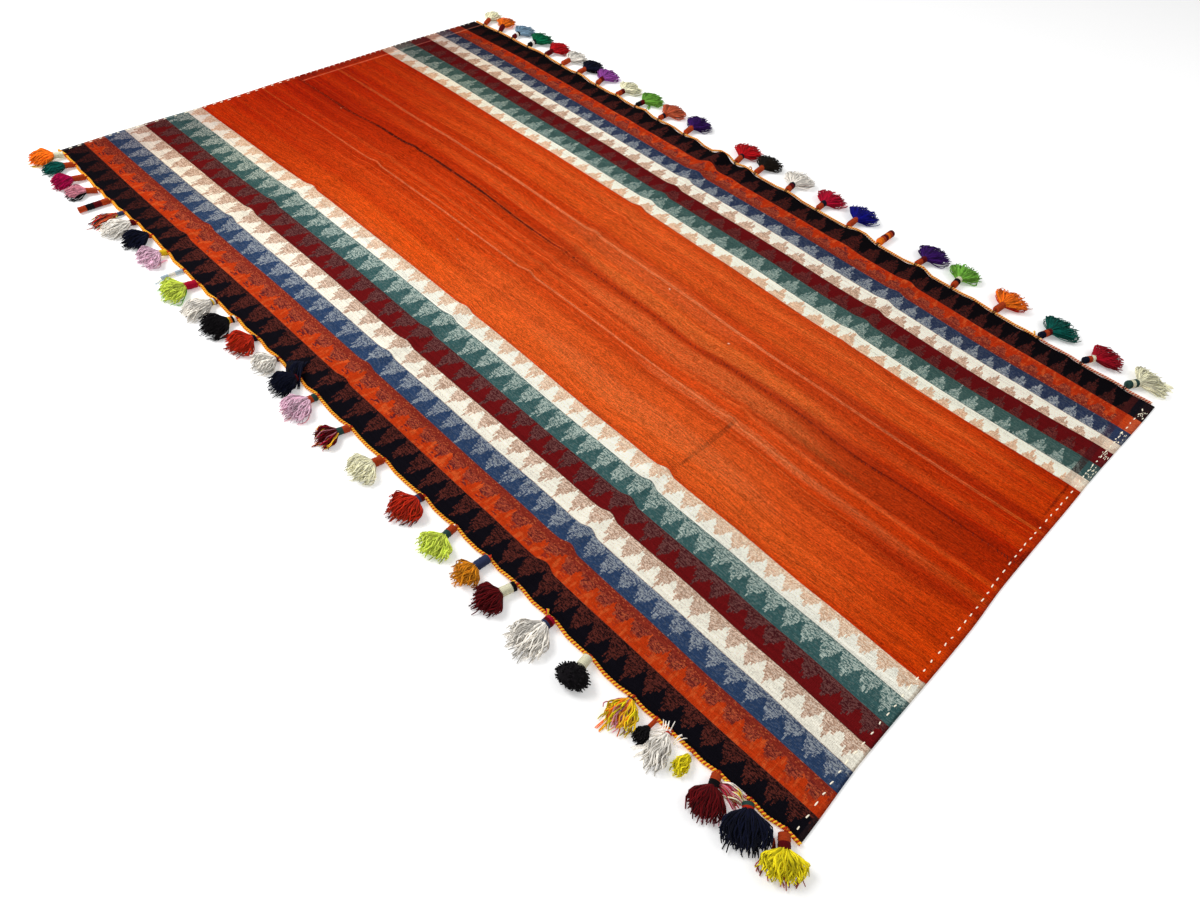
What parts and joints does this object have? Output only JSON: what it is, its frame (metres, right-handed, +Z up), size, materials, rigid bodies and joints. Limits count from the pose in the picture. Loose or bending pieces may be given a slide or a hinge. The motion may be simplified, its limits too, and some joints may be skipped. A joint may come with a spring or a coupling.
{
  "type": "jajim flat-woven wool rug with tassels",
  "caption": "Flat-woven jajim rug: two striped wool panels sewn side by side, burnt-orange field, stepped-triangle bands, twisted edging cords and yarn tassels along both long sides.",
  "frame": {"origin": "on the floor under the middle of the cloth, on the underside of the left panel", "axes": "+Y along the long sides towards the far end, +X across the rug towards the right side, +Z up off the floor"},
  "size_m": [1.8585, 2.787, 0.035],
  "materials": {
    "striped_wool_cloth": "matt flat-woven wool, burnt orange with striped borders",
    "gold_red_cord": "matt two-ply wool cord, golden yellow and red",
    "salmon_red_cord": "matt two-ply wool cord, salmon, white and red",
    "orange_wool_yarn": "matt loosely spun wool yarn, orange",
    "teal_wool_yarn": "matt loosely spun wool yarn, teal",
    "magenta_wool_yarn": "matt loosely spun wool yarn, magenta",
    "black_wool_yarn": "matt loosely spun wool yarn, black",
    "rust_wool_yarn": "matt loosely spun wool yarn, rust",
    "white_wool_yarn": "matt loosely spun wool yarn, white",
    "navy_wool_yarn": "matt loosely spun wool yarn, navy",
    "lilac_wool_yarn": "matt loosely spun wool yarn, lilac",
    "pale_blue_wool_yarn": "matt loosely spun wool yarn, pale blue",
    "lime_wool_yarn": "matt loosely spun wool yarn, lime",
    "red_wool_yarn": "matt loosely spun wool yarn, red",
    "maroon_wool_yarn": "matt loosely spun wool yarn, maroon",
    "cream_wool_yarn": "matt loosely spun wool yarn, cream",
    "mustard_wool_yarn": "matt loosely spun wool yarn, mustard",
    "yellow_wool_yarn": "matt loosely spun wool yarn, yellow",
    "sky_wool_yarn": "matt loosely spun wool yarn, sky",
    "green_wool_yarn": "matt loosely spun wool yarn, green",
    "scarlet_wool_yarn": "matt loosely spun wool yarn, scarlet",
    "violet_wool_yarn": "matt loosely spun wool yarn, violet",
    "leaf_wool_yarn": "matt loosely spun wool yarn, leaf",
    "terracotta_wool_yarn": "matt loosely spun wool yarn, terracotta",
    "indigo_wool_yarn": "matt loosely spun wool yarn, indigo",
    "olive_wool_yarn": "matt loosely spun wool yarn, olive",
    "crimson_wool_yarn": "matt loosely spun wool yarn, crimson",
    "royal_wool_yarn": "matt loosely spun wool yarn, royal"
  },
  "bodies": {
    "root": {"panel_left": "striped_wool_cloth", "panel_right": "striped_wool_cloth", "edge_cord_left": "gold_red_cord", "edge_cord_right": "salmon_red_cord", "tassel_left_01": "orange_wool_yarn", "tassel_left_02": "teal_wool_yarn", "tassel_left_03": "magenta_wool_yarn", "tassel_left_04": "black_wool_yarn", "tassel_left_05": "rust_wool_yarn", "tassel_left_06": "rust_wool_yarn", "tassel_left_07": "white_wool_yarn", "tassel_left_08": "navy_wool_yarn", "tassel_left_09": "lilac_wool_yarn", "tassel_left_10": "pale_blue_wool_yarn", "tassel_left_11": "lime_wool_yarn", "tassel_left_12": "white_wool_yarn", "tassel_left_13": "black_wool_yarn", "tassel_left_14": "red_wool_yarn", "tassel_left_15": "white_wool_yarn", "tassel_left_16": "navy_wool_yarn", "tassel_left_17": "lilac_wool_yarn", "tassel_left_18": "maroon_wool_yarn", "tassel_left_19": "cream_wool_yarn", "tassel_left_20": "red_wool_yarn", "tassel_left_21": "lime_wool_yarn", "tassel_left_22": "mustard_wool_yarn", "tassel_left_23": "maroon_wool_yarn", "tassel_left_24": "white_wool_yarn", "tassel_left_25": "black_wool_yarn", "tassel_left_26": "yellow_wool_yarn", "tassel_left_27": "black_wool_yarn", "tassel_left_28": "white_wool_yarn", "tassel_left_29": "yellow_wool_yarn", "tassel_left_30": "maroon_wool_yarn", "tassel_left_31": "navy_wool_yarn", "tassel_left_32": "yellow_wool_yarn", "tassel_right_01": "cream_wool_yarn", "tassel_right_02": "orange_wool_yarn", "tassel_right_03": "sky_wool_yarn", "tassel_right_04": "green_wool_yarn", "tassel_right_05": "scarlet_wool_yarn", "tassel_right_06": "white_wool_yarn", "tassel_right_07": "navy_wool_yarn", "tassel_right_08": "violet_wool_yarn", "tassel_right_09": "cream_wool_yarn", "tassel_right_10": "leaf_wool_yarn", "tassel_right_11": "terracotta_wool_yarn", "tassel_right_12": "indigo_wool_yarn", "tassel_right_13": "scarlet_wool_yarn", "tassel_right_14": "olive_wool_yarn", "tassel_right_15": "white_wool_yarn", "tassel_right_16": "crimson_wool_yarn", "tassel_right_17": "royal_wool_yarn", "tassel_right_18": "rust_wool_yarn", "tassel_right_19": "indigo_wool_yarn", "tassel_right_20": "leaf_wool_yarn", "tassel_right_21": "red_wool_yarn", "tassel_right_22": "teal_wool_yarn", "tassel_right_23": "maroon_wool_yarn", "tassel_right_24": "cream_wool_yarn"}
  },
  "joints": []
}
